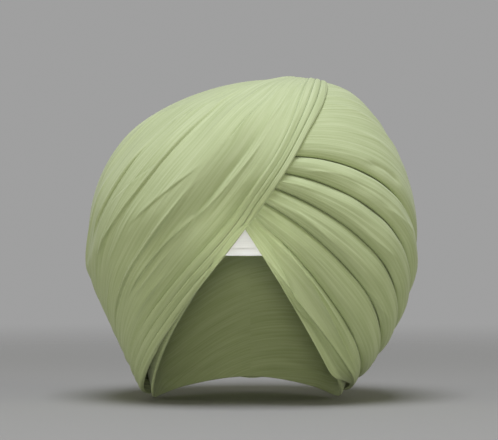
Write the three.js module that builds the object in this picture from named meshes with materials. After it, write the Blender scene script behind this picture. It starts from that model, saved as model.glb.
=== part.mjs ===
// A wound turban, as worn: an under-band, a thick wall of inner turns round a hollow for the head,
// lapped turns of cloth that fan from the right temple over the crown to the back,
// and a last sheet drawn across the left side, with a pleated edge.
// Millimetres, +Z up. The front faces -Y and +X is the viewer's right.
// The origin is the centre of the head ring, level with the lower edge of the under-band.
import * as THREE from "three";

const DEGREE = Math.PI / 180;

// hollow for the head: an upright oval that closes in a dome
const HEAD = { centreX: -3, halfWidth: 76.5, halfLength: 97.5, springZ: -10, crownZ: 100 };

// outer form: a bulging wrap that narrows to the rim and leans to the right at the crown
const WRAP = {
  axisY: 10,
  topZ: 144,
  lean: 36,
  leanFromZ: 8,
  leanPower: 5,
  crownPower: 2.15,
};

// Rows round the head. Azimuth is 0 at the front, 90 at the viewer's right and 180 at the back.
// RimZ and rimWall are the height and thickness of the lower edge, bellyZ and bellyR say where
// the wrap is widest, and taper is the power of the curve between the two.
const PROFILE = [
  { azimuth: -180, rimZ: -108, rimWall: 6, bellyZ: 5, bellyR: 138, taper: 1.6 },
  { azimuth: -140, rimZ: -114, rimWall: 5, bellyZ: 2, bellyR: 137, taper: 1.5 },
  { azimuth: -110, rimZ: -119, rimWall: 4.5, bellyZ: -8, bellyR: 134, taper: 1.15 },
  { azimuth: -85, rimZ: -118, rimWall: 4.5, bellyZ: -10, bellyR: 132, taper: 1.1 },
  { azimuth: -65, rimZ: -99, rimWall: 5, bellyZ: 8, bellyR: 133, taper: 1.2 },
  { azimuth: -45, rimZ: -70, rimWall: 5.5, bellyZ: 25, bellyR: 132, taper: 1.5 },
  { azimuth: -22, rimZ: -25, rimWall: 7, bellyZ: 47, bellyR: 130, taper: 1.6 },
  { azimuth: 0, rimZ: 27, rimWall: 7.6, bellyZ: 62, bellyR: 129, taper: 1.6 },
  { azimuth: 20, rimZ: -36, rimWall: 7, bellyZ: 48, bellyR: 130, taper: 1.6 },
  { azimuth: 40, rimZ: -76, rimWall: 5.5, bellyZ: 32, bellyR: 133, taper: 1.8 },
  { azimuth: 60, rimZ: -102, rimWall: 5, bellyZ: 18, bellyR: 137, taper: 1.95 },
  { azimuth: 85, rimZ: -117, rimWall: 4.5, bellyZ: 10, bellyR: 138.5, taper: 2.05 },
  { azimuth: 110, rimZ: -119, rimWall: 4.5, bellyZ: 8, bellyR: 138.5, taper: 2.05 },
  { azimuth: 140, rimZ: -114, rimWall: 5, bellyZ: 5, bellyR: 138.5, taper: 1.8 },
  { azimuth: 180, rimZ: -108, rimWall: 6, bellyZ: 5, bellyR: 138, taper: 1.6 },
];

// Each family of folds fans out in planes round a chord between two gathering points.
// Twist turns the planes of a family forward towards the chord's start.
const TURN_FAN = {
  from: [-44, -150, 92],
  to: [33, 59, -76],
  aim: [0.3, -1, 0],
  twist: 0,
  twistPower: 1,
};
const SHEET_FAN = {
  from: [-59, 91.5, -112.5],
  to: [54, 44.5, 144],
  aim: [0, -1, 0],
  twist: 25.5,
  twistPower: 1.44,
};

// Lapped turns, from the right temple over the crown to the back. Angle is the plane of the lower edge,
// which laps over the turn before it, and pleats is the number of small ribs along the turn.
const TURNS = [
  { name: "right_turn_1", angle: 7.6, pleats: 4 },
  { name: "right_turn_2", angle: -11.2, pleats: 1 },
  { name: "right_turn_3", angle: -26.2, pleats: 1 },
  { name: "right_turn_4", angle: -39.5, pleats: 1 },
  { name: "right_turn_5", angle: -52.3, pleats: 1 },
  { name: "top_turn", angle: -65, pleats: 1 },
  { name: "back_turn_1", angle: -118, pleats: 1 },
  { name: "back_turn_2", angle: -147, pleats: 1 },
  { name: "back_turn_3", angle: -175, pleats: 1 },
  { name: "back_turn_4", angle: -203, pleats: 1 },
];
const LAST_TURN_END = -229;

// behind the right ear the planes below this angle draw together, so that the edge stays at the rim
const EAR_GATHER = { angle: -5, share: 0.85, from: 0.74, to: 1 };

const TURN_DEPTH = 10;
const TURN_GAP = { most: 2.1, share: 0.45 };
const TURN_STATIONS = 18;
const PLEATED_STATIONS = 22;
const PLEAT_PLACES = 3;
const PLEAT_DEPTH = 0.22;

// Section of one turn. Across runs from its lower edge, 0, to the next turn's, 1. Outer and inner are
// heights over the turns below, as shares of the depth. The last row is the tail under the next turn.
const TURN_SECTION = [
  { across: 0, outer: 0.76, inner: 0.52 },
  { across: 0.07, outer: 0.92, inner: 0.45 },
  { across: 0.2, outer: 1, inner: 0.3 },
  { across: 0.42, outer: 1, inner: 0.02 },
  { across: 0.64, outer: 0.93, inner: 0 },
  { across: 0.84, outer: 0.75, inner: 0 },
  { across: 1, outer: 0.34, inner: 0 },
];
const TURN_TAIL = { share: 0.18, outer: 0.14, inner: 0 };

// The last sheet. Angles are planes of its fan. Spread moves an edge of the band towards the lower end,
// and flare towards the crown.
const SHEET = { backAngle: -86, backHem: 4, stations: 20, gap: 1.5, thickness: 2.2, hem: 0.5 };
const BAND = {
  border: -0.2,
  borderSpread: -3,
  edge: 4.6,
  edgeSpread: 4.5,
  flareFrom: 0.88,
  borderFlare: -112,
  edgeFlare: 147,
  lap: 0.25,
  gap: 1.6,
  thickness: 2,
  ridges: 3,
  ridge: 1.5,
  ridgePlaces: 4,
};
const SHEET_HIDES = 18;
const SHEET_FADE = { from: 38, to: 78 };

// how low the turns and the sheet come, and how near to the points where their folds gather
const TIP_Z = -117;
const BUNCH_RADIUS = 14;
const CHORD_REACH = { low: -0.25, high: 1.25 };
const CHORD_MIDDLE = 0.5;
const CHORD_STEP = { coarse: 0.005, fine: 0.00002 };
const LENGTH_SAMPLES = 80;

// how a point of the form is looked for along a ray, and how far apart its slope is measured
const RAY = { reach: 260, stride: 8, halvings: 24 };
const SLOPE_STEP = 0.4;

// Long folds of the sheet: the plane of each, its height and half-width, and the stretch it runs along.
const FOLD_FADE = 0.15;
const SHEET_FOLDS = [
  { angle: -5, height: -1.2, halfWidth: 3, from: 0.1, to: 0.95 },
  { angle: -9.5, height: 1.6, halfWidth: 2.6, from: 0.35, to: 0.95 },
  { angle: -14, height: 2.2, halfWidth: 3.2, from: 0.02, to: 0.9 },
  { angle: -19, height: -1, halfWidth: 2.5, from: 0.2, to: 0.9 },
  { angle: -24.5, height: 2.6, halfWidth: 3.2, from: 0.1, to: 0.95 },
  { angle: -33, height: 1.8, halfWidth: 3.5, from: 0.05, to: 0.9 },
  { angle: -42, height: 1.6, halfWidth: 4, from: 0.05, to: 0.85 },
  { angle: -54, height: 1.6, halfWidth: 5, from: 0.1, to: 0.9 },
  { angle: -68, height: 1.6, halfWidth: 5, from: 0.1, to: 0.9 },
];

// inner turns and under-band
const LINING_GAP = { rim: 0.8, band: 3.9, below: 38, rise: 18 };
const RIM_THICKNESS = 1.2;
const SHEET_SEAT = 0.5;
const INNER_GRID = { round: 40, outerRows: 14, innerRows: 12, crowding: 1.5 };
const UNDER_BAND = { gap: 0.5, thickness: 1.6, width: 40, lowerZ: 0, round: 40, rows: 2 };

const GREEN = 0xb3bf92;
const WHITE = 0xe4e0da;

const smoothstep = (value) => {
  const x = Math.min(Math.max(value, 0), 1);
  return x * x * (3 - 2 * x);
};

const wave = (share) => 0.5 - 0.5 * Math.cos(2 * Math.PI * share);

// a smooth curve through the rows of the profile, closed round the back
function profileAt(azimuth, column) {
  const last = PROFILE.length - 1;
  let k = 0;
  while (k < last - 1 && PROFILE[k + 1].azimuth < azimuth) k += 1;
  const row = (i) => PROFILE[(i + last) % last];
  const place = (i) => row(i).azimuth + 360 * Math.floor(i / last);
  const slope = (i) => (row(i + 1)[column] - row(i - 1)[column]) / (place(i + 1) - place(i - 1));
  const span = place(k + 1) - place(k);
  const s = (azimuth - place(k)) / span;
  const rise = row(k + 1)[column] - row(k)[column];
  const bend = (1 - s) * (slope(k) * span - rise) - s * (slope(k + 1) * span - rise);
  return row(k)[column] + s * rise + s * (1 - s) * bend;
}

// distance from the wrap's axis to the head's surface, grown by a margin
function headRadius(azimuth, z, margin) {
  const climb = Math.max(z - HEAD.springZ, 0) / (HEAD.crownZ + margin - HEAD.springZ);
  const shrink = Math.sqrt(Math.max(1 - climb * climb, 1e-9));
  const halfWidth = (HEAD.halfWidth + margin) * shrink;
  const halfLength = (HEAD.halfLength + margin) * shrink;
  const dx = Math.sin(azimuth * DEGREE) / halfWidth;
  const dy = -Math.cos(azimuth * DEGREE) / halfLength;
  const ox = -HEAD.centreX / halfWidth;
  const oy = WRAP.axisY / halfLength;
  const a = dx * dx + dy * dy;
  const b = ox * dx + oy * dy;
  const c = ox * ox + oy * oy - 1;
  return (-b + Math.sqrt(Math.max(b * b - a * c, 0))) / a;
}

const axisX = (z) => {
  const climb = Math.max(z - WRAP.leanFromZ, 0) / (WRAP.topZ - WRAP.leanFromZ);
  return WRAP.lean * climb ** WRAP.leanPower;
};

// distance from the axis to the outer form
function wrapRadius(azimuth, z) {
  const bellyZ = profileAt(azimuth, "bellyZ");
  const bellyR = profileAt(azimuth, "bellyR");
  if (z > bellyZ) {
    const climb = Math.min((z - bellyZ) / (WRAP.topZ - bellyZ), 1);
    return bellyR * (1 - climb ** WRAP.crownPower) ** (1 / WRAP.crownPower);
  }
  const rimZ = profileAt(azimuth, "rimZ");
  const rimR = headRadius(azimuth, HEAD.springZ, profileAt(azimuth, "rimWall"));
  const fall = Math.min(Math.max((bellyZ - z) / (bellyZ - rimZ), 0), 1);
  return rimR + (bellyR - rimR) * (1 - fall ** profileAt(azimuth, "taper"));
}

const azimuthOf = (p) => Math.atan2(p.x - axisX(p.z), WRAP.axisY - p.y) / DEGREE;

// how far a point lies outside the outer form, measured from the axis
function outside(p) {
  const radius = Math.hypot(p.x - axisX(p.z), p.y - WRAP.axisY);
  const above = Math.max(p.z - WRAP.topZ, 0);
  return radius + above - wrapRadius(azimuthOf(p), Math.min(p.z, WRAP.topZ));
}

function outwardNormal(p) {
  const change = (axis) => {
    const shift = new THREE.Vector3(...axis).multiplyScalar(SLOPE_STEP);
    return outside(p.clone().add(shift)) - outside(p.clone().sub(shift));
  };
  return new THREE.Vector3(change([1, 0, 0]), change([0, 1, 0]), change([0, 0, 1])).normalize();
}

// axes of a fan: along its chord, and the two directions that its planes turn between
function fanAxes(fan) {
  const start = new THREE.Vector3(...fan.from);
  const along = new THREE.Vector3(...fan.to).sub(start);
  const length = along.length();
  along.normalize();
  const front = new THREE.Vector3(...fan.aim);
  front.addScaledVector(along, -front.dot(along)).normalize();
  const side = along.clone().cross(front);
  return { ...fan, start, along, length, front, side };
}

const turnFan = fanAxes(TURN_FAN);
const sheetFan = fanAxes(SHEET_FAN);
const fanTwist = (fan, t) => fan.twist * Math.max(1 - t, 0) ** fan.twistPower;

// the outermost point of the form in one plane of a fan, square to the chord at t, if there is one
function fanPoint(fan, t, angle) {
  const turned = (angle - fanTwist(fan, t)) * DEGREE;
  const origin = fan.start.clone().addScaledVector(fan.along, t * fan.length);
  const ray = fan.front.clone().multiplyScalar(Math.cos(turned));
  ray.addScaledVector(fan.side, Math.sin(turned));
  const at = (s) => origin.clone().addScaledVector(ray, s);
  let near = RAY.reach;
  while (near > 0 && outside(at(near)) > 0) near -= RAY.stride;
  if (near <= 0) return null;
  let far = near + RAY.stride;
  for (let i = 0; i < RAY.halvings; i += 1) {
    const middle = (near + far) / 2;
    if (outside(at(middle)) > 0) far = middle;
    else near = middle;
  }
  return at(near);
}

// place of a point in a fan: its plane, its place along the chord and its distance from the chord
function fanPlace(fan, p) {
  const offset = p.clone().sub(fan.start);
  const t = offset.dot(fan.along) / fan.length;
  const turned = Math.atan2(offset.dot(fan.side), offset.dot(fan.front)) / DEGREE;
  const away = offset.addScaledVector(fan.along, -t * fan.length).length();
  return { t, away, angle: turned + fanTwist(fan, t) };
}

const spread = (t) => (1 - t) ** 2;
const flare = (t) => Math.max(t - BAND.flareFrom, 0) ** 2;
const bandEdge = (t) => BAND.edge + BAND.edgeSpread * spread(t) + BAND.edgeFlare * flare(t);
const bandBorder = (t) => BAND.border + BAND.borderSpread * spread(t) + BAND.borderFlare * flare(t);

// how far a point lies inside the nearest edge of the last sheet
function underSheet(p) {
  const place = fanPlace(sheetFan, p);
  const inside = Math.min(bandEdge(place.t) - place.angle, place.angle - SHEET.backAngle);
  return inside * DEGREE * place.away;
}

// how far the hollow's wall stands off the head: close at the rim, and clear of the under-band above
function liningGap(z) {
  const rise = smoothstep((z - UNDER_BAND.lowerZ + LINING_GAP.below) / LINING_GAP.rise);
  return LINING_GAP.rim + (LINING_GAP.band - LINING_GAP.rim) * rise;
}

// room between the inner turns and the outer form: full under the lapped turns, little under the sheet
function turnRoom(p) {
  const azimuth = azimuthOf(p);
  const wall = wrapRadius(azimuth, p.z) - headRadius(azimuth, p.z, liningGap(p.z));
  const room = TURN_DEPTH * (1 - Math.exp((RIM_THICKNESS - wall) / TURN_DEPTH));
  const covered = smoothstep((underSheet(p) - SHEET_FADE.from) / (SHEET_FADE.to - SHEET_FADE.from));
  return room + (SHEET_SEAT - room) * covered;
}

const lifted = (p, lift) => p.clone().addScaledVector(outwardNormal(p), lift);

// Closed slab between two grids of points, an outer and an inner one of the same size.
function slabGeometry(outer, inner, closedRound) {
  const rows = outer.length;
  const columns = outer[0].length;
  const points = [...outer.flat(), ...inner.flat()];
  const inside = rows * columns;
  const index = [];
  const span = (a, b) => points[a].distanceTo(points[b]);
  const quad = (a, b, c, d) => {
    if (span(a, c) < span(b, d)) index.push(a, b, c, a, c, d);
    else index.push(a, b, d, b, c, d);
  };
  const at = (i, j) => i * columns + (j % columns);
  const lastColumn = closedRound ? columns : columns - 1;
  const wall = (a, b) => quad(a, inside + a, inside + b, b);
  for (let i = 0; i < rows - 1; i += 1) {
    for (let j = 0; j < lastColumn; j += 1) {
      const [a, b, c, d] = [at(i, j), at(i, j + 1), at(i + 1, j + 1), at(i + 1, j)];
      quad(a, b, c, d);
      quad(inside + d, inside + c, inside + b, inside + a);
    }
  }
  for (let j = 0; j < lastColumn; j += 1) {
    wall(at(0, j), at(0, j + 1));
    wall(at(rows - 1, j + 1), at(rows - 1, j));
  }
  for (let i = 0; i < rows - 1 && !closedRound; i += 1) {
    wall(at(i + 1, 0), at(i, 0));
    wall(at(i, lastColumn), at(i + 1, lastColumn));
  }
  return facing(points, index);
}

// a geometry whose faces all point out
function facing(points, index) {
  let volume = 0;
  for (let k = 0; k < index.length; k += 3) {
    const [a, b, c] = [points[index[k]], points[index[k + 1]], points[index[k + 2]]];
    volume += a.dot(b.clone().cross(c));
  }
  const faces = volume > 0 ? index : index.slice().reverse();
  const geometry = new THREE.BufferGeometry().setFromPoints(points);
  geometry.setIndex(faces);
  geometry.computeVertexNormals();
  return geometry;
}

// the last t, walking along a chord, whose point still fits
function walkChord(fan, angleAt, fromT, heading, fits) {
  let t = fromT;
  let step = CHORD_STEP.coarse;
  while (step > CHORD_STEP.fine) {
    const next = t + heading * step;
    const reached = next > CHORD_REACH.low && next < CHORD_REACH.high;
    const p = reached ? fanPoint(fan, next, angleAt(next)) : null;
    if (p && fits(p)) t = next;
    else step /= 2;
  }
  return t;
}

// points along one line of a fan, at even steps of its length
function evenLine(fan, angleAt, start, end, steps) {
  const place = (i) => start + (end - start) * wave(i / (2 * LENGTH_SAMPLES));
  const places = Array.from({ length: LENGTH_SAMPLES + 1 }, (_, i) => place(i));
  const samples = places.map((t) => fanPoint(fan, t, angleAt(t)));
  const lengths = [0];
  for (let i = 1; i <= LENGTH_SAMPLES; i += 1) {
    lengths.push(lengths[i - 1] + samples[i].distanceTo(samples[i - 1]));
  }
  const line = [];
  for (let k = 0; k <= steps; k += 1) {
    const wanted = (lengths[LENGTH_SAMPLES] * k) / steps;
    let i = 0;
    while (i < LENGTH_SAMPLES - 1 && lengths[i + 1] < wanted) i += 1;
    const t = place(i + (wanted - lengths[i]) / (lengths[i + 1] - lengths[i]));
    line.push({ t, p: fanPoint(fan, t, angleAt(t)) });
  }
  return line;
}

const free = (fan) => (p) => p.z > TIP_Z && fanPlace(fan, p).away > BUNCH_RADIUS;

// one line of the turns: from under the sheet to where the turns gather at the back
function turnLine(angle, stations) {
  const low = Math.max(angle - EAR_GATHER.angle, 0) * EAR_GATHER.share;
  const drawn = (t) => smoothstep((t - EAR_GATHER.from) / (EAR_GATHER.to - EAR_GATHER.from));
  const angleAt = (t) => angle - low * drawn(t);
  const end = walkChord(turnFan, angleAt, CHORD_MIDDLE, 1, free(turnFan));
  const start = walkChord(turnFan, angleAt, end, -1, (p) => underSheet(p) < SHEET_HIDES);
  return evenLine(turnFan, angleAt, start, end, stations);
}

// one line of the sheet: from the rim behind the left ear to where the sheet gathers at the crown
function sheetLine(angleAt) {
  const start = walkChord(sheetFan, angleAt, CHORD_MIDDLE, -1, free(sheetFan));
  const end = walkChord(sheetFan, angleAt, CHORD_MIDDLE, 1, free(sheetFan));
  return evenLine(sheetFan, angleAt, start, end, SHEET.stations);
}

function turnSolid(turn, endAngle, nextWidth) {
  const width = endAngle - turn.angle;
  const pleated = turn.pleats > 1;
  const section = pleated ? pleatedSection(turn.pleats) : TURN_SECTION;
  const stations = pleated ? PLEATED_STATIONS : TURN_STATIONS;
  const tail = { ...TURN_TAIL, across: 1 + (TURN_TAIL.share * nextWidth) / width };
  const columns = [...section, tail].map((row) => ({
    ...row,
    line: turnLine(turn.angle + row.across * width, stations),
  }));
  const outer = [];
  const inner = [];
  for (let i = 0; i <= stations; i += 1) {
    const lift = (column, part) => {
      const { p } = column.line[i];
      const room = turnRoom(p);
      const gap = Math.min(TURN_GAP.most, TURN_GAP.share * room);
      return lifted(p, gap + part * (room - gap) - room);
    };
    outer.push(columns.map((column) => lift(column, column.outer)));
    inner.push(columns.map((column) => lift(column, column.inner)));
  }
  return slabGeometry(outer, inner, false);
}

// a turn's section with small ribs along it
function pleatedSection(pleats) {
  const places = PLEAT_PLACES * pleats;
  const between = (across, key) => {
    const k = Math.max(TURN_SECTION.findIndex((row) => row.across >= across), 1);
    const [low, high] = [TURN_SECTION[k - 1], TURN_SECTION[k]];
    return low[key] + ((across - low.across) / (high.across - low.across)) * (high[key] - low[key]);
  };
  return Array.from({ length: places + 1 }, (_, i) => {
    const across = i / places;
    const rib = PLEAT_DEPTH * (1 - wave(pleats * across)) * (i > 0 && i < places ? 1 : 0);
    return { across, outer: between(across, "outer") - rib * (1 - across), inner: between(across, "inner") };
  });
}

function foldHeight(angle, t) {
  return SHEET_FOLDS.reduce((sum, fold) => {
    const off = Math.abs(angle - fold.angle) / fold.halfWidth;
    const fade = smoothstep((t - fold.from) / FOLD_FADE) * smoothstep((fold.to - t) / FOLD_FADE);
    return sum + fold.height * fade * (1 - smoothstep(off));
  }, 0);
}

// a slab of the sheet: one column for each line of the fan, with its height over the form
function sheetSolid(lines, gap) {
  const outer = [];
  const inner = [];
  const columns = lines.map((line) => ({ ...line, points: sheetLine(line.angleAt) }));
  for (let i = 0; i <= SHEET.stations; i += 1) {
    inner.push(columns.map(({ points }) => lifted(points[i].p, gap)));
    outer.push(columns.map(({ points, heightAt }) => {
      const { t, p } = points[i];
      return lifted(p, gap + heightAt(t));
    }));
  }
  return slabGeometry(outer, inner, false);
}

// the sheet, from its back edge to the pleated band, with a line at each fold and between folds
function frontSheet() {
  const angles = [SHEET.backAngle + SHEET.backHem];
  for (const fold of SHEET_FOLDS) angles.push(fold.angle, fold.angle - fold.halfWidth);
  angles.sort((a, b) => a - b);
  const plain = angles.map((angle) => ({
    angleAt: () => angle,
    heightAt: (t) => Math.max(SHEET.thickness + foldHeight(angle, t), SHEET.hem * SHEET.thickness),
  }));
  const hem = (angleAt) => ({ angleAt, heightAt: () => SHEET.hem * SHEET.thickness });
  const backHem = hem(() => SHEET.backAngle);
  const frontHem = hem((t) => bandBorder(t) - BAND.lap);
  return sheetSolid([backHem, ...plain, frontHem], SHEET.gap);
}

// the pleated band along the sheet's edge
function edgePleats() {
  const places = BAND.ridgePlaces * BAND.ridges;
  return sheetSolid(Array.from({ length: places + 1 }, (_, j) => ({
    angleAt: (t) => bandBorder(t) + ((bandEdge(t) - bandBorder(t)) * j) / places,
    heightAt: () => BAND.thickness + BAND.ridge * wave((BAND.ridges * j) / places),
  })), BAND.gap);
}

// a point of the hollow's wall, grown by a margin, at an azimuth and a height
function hollowPoint(azimuth, z, margin) {
  const radius = headRadius(azimuth, z, margin);
  const x = radius * Math.sin(azimuth * DEGREE);
  return new THREE.Vector3(x, WRAP.axisY - radius * Math.cos(azimuth * DEGREE), z);
}

// the thick wall of inner turns: up the outside to the crown, and down the hollow to the rim
function innerTurns() {
  const { round, outerRows, innerRows, crowding } = INNER_GRID;
  const rowRise = (share) => Math.sin((share ** crowding * Math.PI) / 2);
  const rings = [];
  const azimuths = Array.from({ length: round }, (_, j) => -180 + (360 * j) / round);
  for (let i = 0; i < outerRows; i += 1) {
    rings.push(azimuths.map((azimuth) => {
      const rimZ = profileAt(azimuth, "rimZ");
      const z = rimZ + (WRAP.topZ - rimZ) * rowRise(i / outerRows);
      const radius = wrapRadius(azimuth, z);
      const x = axisX(z) + radius * Math.sin(azimuth * DEGREE);
      const p = new THREE.Vector3(x, WRAP.axisY - radius * Math.cos(azimuth * DEGREE), z);
      return lifted(p, -turnRoom(p));
    }));
  }
  const hollowTop = HEAD.crownZ + LINING_GAP.band;
  for (let i = innerRows - 1; i >= 0; i -= 1) {
    rings.push(azimuths.map((azimuth) => {
      const rimZ = profileAt(azimuth, "rimZ");
      const z = rimZ + (hollowTop - rimZ) * rowRise(i / innerRows);
      return hollowPoint(azimuth, z, liningGap(z));
    }));
  }
  const crown = new THREE.Vector3(axisX(WRAP.topZ), WRAP.axisY, WRAP.topZ - TURN_DEPTH);
  const vault = new THREE.Vector3(HEAD.centreX, 0, hollowTop);
  const points = [...rings.flat(), crown, vault];
  const index = [];
  const at = (i, j) => (i % rings.length) * round + (j % round);
  for (let i = 0; i < rings.length; i += 1) {
    for (let j = 0; j < round; j += 1) {
      if (i === outerRows - 1) {
        index.push(at(i, j), at(i, j + 1), points.length - 2);
        index.push(at(i + 1, j), points.length - 1, at(i + 1, j + 1));
      } else {
        index.push(at(i, j), at(i, j + 1), at(i + 1, j + 1), at(i, j), at(i + 1, j + 1), at(i + 1, j));
      }
    }
  }
  return facing(points, index);
}

// the white band round the brow, inside the inner turns
function underBand() {
  const { round, rows } = UNDER_BAND;
  const grid = (margin) => Array.from({ length: rows }, (_, i) =>
    Array.from({ length: round }, (_, j) => {
      const azimuth = -180 + (360 * j) / round;
      return hollowPoint(azimuth, UNDER_BAND.lowerZ + (UNDER_BAND.width * i) / (rows - 1), margin);
    }));
  return slabGeometry(grid(UNDER_BAND.gap + UNDER_BAND.thickness), grid(UNDER_BAND.gap), true);
}

const turban = new THREE.Group();

function addPiece(name, geometry, colour) {
  const material = new THREE.MeshStandardMaterial({ color: colour, roughness: 0.9, metalness: 0 });
  const mesh = new THREE.Mesh(geometry, material);
  mesh.name = name;
  turban.add(mesh);
}

addPiece("under_band", underBand(), WHITE);
addPiece("inner_turns", innerTurns(), GREEN);
TURNS.forEach((turn, k) => {
  const edges = [...TURNS.map((row) => row.angle), LAST_TURN_END, LAST_TURN_END];
  addPiece(turn.name, turnSolid(turn, edges[k + 1], edges[k + 2] - edges[k + 1]), GREEN);
});
addPiece("front_sheet", frontSheet(), GREEN);
addPiece("edge_pleats", edgePleats(), GREEN);

export default turban;
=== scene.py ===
import math

import bpy
import numpy as np
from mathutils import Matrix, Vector


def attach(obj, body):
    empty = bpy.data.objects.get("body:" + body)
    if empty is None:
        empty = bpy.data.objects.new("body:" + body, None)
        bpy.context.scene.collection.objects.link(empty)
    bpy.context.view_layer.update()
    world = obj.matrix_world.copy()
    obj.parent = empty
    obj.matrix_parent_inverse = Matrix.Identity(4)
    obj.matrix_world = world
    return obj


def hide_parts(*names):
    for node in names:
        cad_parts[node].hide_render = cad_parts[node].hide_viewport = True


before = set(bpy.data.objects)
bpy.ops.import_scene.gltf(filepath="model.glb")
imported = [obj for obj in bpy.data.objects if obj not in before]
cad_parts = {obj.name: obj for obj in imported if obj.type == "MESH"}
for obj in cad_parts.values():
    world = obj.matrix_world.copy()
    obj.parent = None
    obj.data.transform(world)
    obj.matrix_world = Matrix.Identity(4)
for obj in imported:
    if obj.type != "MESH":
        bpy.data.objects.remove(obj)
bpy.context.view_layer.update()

# Lengths are millimetres and angles are degrees, up to the meshes, which are in metres.
MM = 0.001
PER_METRE = 1000
DEGREE = math.pi / 180
FINE = 1.0
RANDOM = np.random.default_rng(11)

# the head's hollow and the outer form of the wrap
HEAD = dict(centre_x=-3, half_width=76.5, half_length=97.5, spring_z=-10, crown_z=100)
WRAP = dict(axis_y=10, top_z=144, lean=36, lean_from_z=8, lean_power=5, crown_power=2.15)

# azimuth, rim height, rim wall, belly height, belly radius, taper
PROFILE = np.array([
    (-180, -108, 6, 5, 138, 1.6),
    (-140, -114, 5, 2, 137, 1.5),
    (-110, -119, 4.5, -8, 134, 1.15),
    (-85, -118, 4.5, -10, 132, 1.1),
    (-65, -99, 5, 8, 133, 1.2),
    (-45, -70, 5.5, 25, 132, 1.5),
    (-22, -25, 7, 47, 130, 1.6),
    (0, 27, 7.6, 62, 129, 1.6),
    (20, -36, 7, 48, 130, 1.6),
    (40, -76, 5.5, 32, 133, 1.8),
    (60, -102, 5, 18, 137, 1.95),
    (85, -117, 4.5, 10, 138.5, 2.05),
    (110, -119, 4.5, 8, 138.5, 2.05),
    (140, -114, 5, 5, 138.5, 1.8),
    (180, -108, 6, 5, 138, 1.6),
])

# lower-edge planes of the lapped turns, and the plane where the last one ends
TURNS = [
    ("right_turn_1", 7.6),
    ("right_turn_2", -11.2),
    ("right_turn_3", -26.2),
    ("right_turn_4", -39.5),
    ("right_turn_5", -52.3),
    ("top_turn", -65.0),
    ("back_turn_1", -118.0),
    ("back_turn_2", -147.0),
    ("back_turn_3", -175.0),
    ("back_turn_4", -203.0),
]
LAST_TURN_END = -229.0
EAR_GATHER = dict(angle=-5, share=0.85, start=0.74, end=1.0)
TURN_DEPTH = 10.0
TURN_GAP = dict(most=2.1, share=0.45)
RIM_THICKNESS = 1.2

# How the turns pass under the last sheet: how far in they end, further at the crown, how the wall below them
# rises, and how they sink. The sheet's own end at the crown is tucked in.
SHEET_SEAT = 0.5
SHEET_HIDES = 18.0
CROWN_HIDES = dict(more=24.0, start=0.89, end=0.97)
SHEET_FADE = (38.0, 78.0)
SHEET_SINK = dict(depth=2.4, over=14, end=1.0, fade=0.06)
END_TUCK = dict(depth=1.6, over=6)

# the last sheet, its pleated band, and the hollow's lining with the white band on it
SHEET = dict(back_angle=-86.0, gap=1.5, thickness=2.2, tuck=0.5, low=0.4)
BAND = dict(border=0.35, border_spread=-1.6, border_flare_from=0.78, border_flare=-60,
            edge=4.6, edge_spread=4.5, edge_flare_from=0.88, edge_flare=147, gap=1.6)
TIP_Z = -117.0
BUNCH_RADIUS = 14.0
LINING_GAP = dict(rim=0.8, band=3.9, below=38, rise=18)
UNDER_BAND = dict(gap=0.5, lower_z=0)

# steps of the searches for points on the form
NORMAL_STEP = 0.4
RAY = dict(reach=260.0, step=8.0, halvings=22)
WALK = dict(step=0.02, least=2e-5, low=-0.25, high=1.25)
MEASURED_STATIONS = 121


def smoothstep(x):
    x = np.clip(x, 0, 1)
    return x * x * (3 - 2 * x)


def profile_column(azimuth, column):
    """A smooth curve through one column of the profile, closed round the back."""
    last = len(PROFILE) - 1
    k = np.clip(np.searchsorted(PROFILE[:, 0], azimuth) - 1, 0, last - 1)
    value = lambda i: PROFILE[(i + last) % last, column]
    place = lambda i: PROFILE[(i + last) % last, 0] + 360 * np.floor_divide(i, last)
    slope = lambda i: (value(i + 1) - value(i - 1)) / (place(i + 1) - place(i - 1))
    span = place(k + 1) - place(k)
    s = (azimuth - place(k)) / span
    rise = value(k + 1) - value(k)
    bend = (1 - s) * (slope(k) * span - rise) - s * (slope(k + 1) * span - rise)
    return value(k) + s * rise + s * (1 - s) * bend


def head_radius(azimuth, z, margin):
    """Distance from the wrap's axis to the head's surface, grown by a margin."""
    climb = np.maximum(z - HEAD["spring_z"], 0) / (HEAD["crown_z"] + margin - HEAD["spring_z"])
    shrink = np.sqrt(np.maximum(1 - climb * climb, 1e-9))
    half_width = (HEAD["half_width"] + margin) * shrink
    half_length = (HEAD["half_length"] + margin) * shrink
    dx = np.sin(azimuth * DEGREE) / half_width
    dy = -np.cos(azimuth * DEGREE) / half_length
    ox = -HEAD["centre_x"] / half_width
    oy = WRAP["axis_y"] / half_length
    a = dx * dx + dy * dy
    b = ox * dx + oy * dy
    c = ox * ox + oy * oy - 1
    return (-b + np.sqrt(np.maximum(b * b - a * c, 0))) / a


AZIMUTHS = np.arange(-180, 180.01, 0.25)
RIM_Z, RIM_WALL, BELLY_Z, BELLY_R, TAPER = (profile_column(AZIMUTHS, c) for c in range(1, 6))
RIM_R = head_radius(AZIMUTHS, HEAD["spring_z"], RIM_WALL)


def axis_x(z):
    climb = np.maximum(z - WRAP["lean_from_z"], 0) / (WRAP["top_z"] - WRAP["lean_from_z"])
    return WRAP["lean"] * climb ** WRAP["lean_power"]


def wrap_radius(azimuth, z):
    at = lambda values: np.interp(azimuth, AZIMUTHS, values)
    belly_z, belly_r, rim_z, rim_r = at(BELLY_Z), at(BELLY_R), at(RIM_Z), at(RIM_R)
    power = WRAP["crown_power"]
    climb = np.clip((z - belly_z) / (WRAP["top_z"] - belly_z), 0, 1)
    fall = np.clip((belly_z - z) / (belly_z - rim_z), 0, 1)
    upper = belly_r * np.maximum(1 - climb ** power, 0) ** (1 / power)
    lower = rim_r + (belly_r - rim_r) * (1 - fall ** at(TAPER))
    return np.where(z > belly_z, upper, lower)


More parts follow.
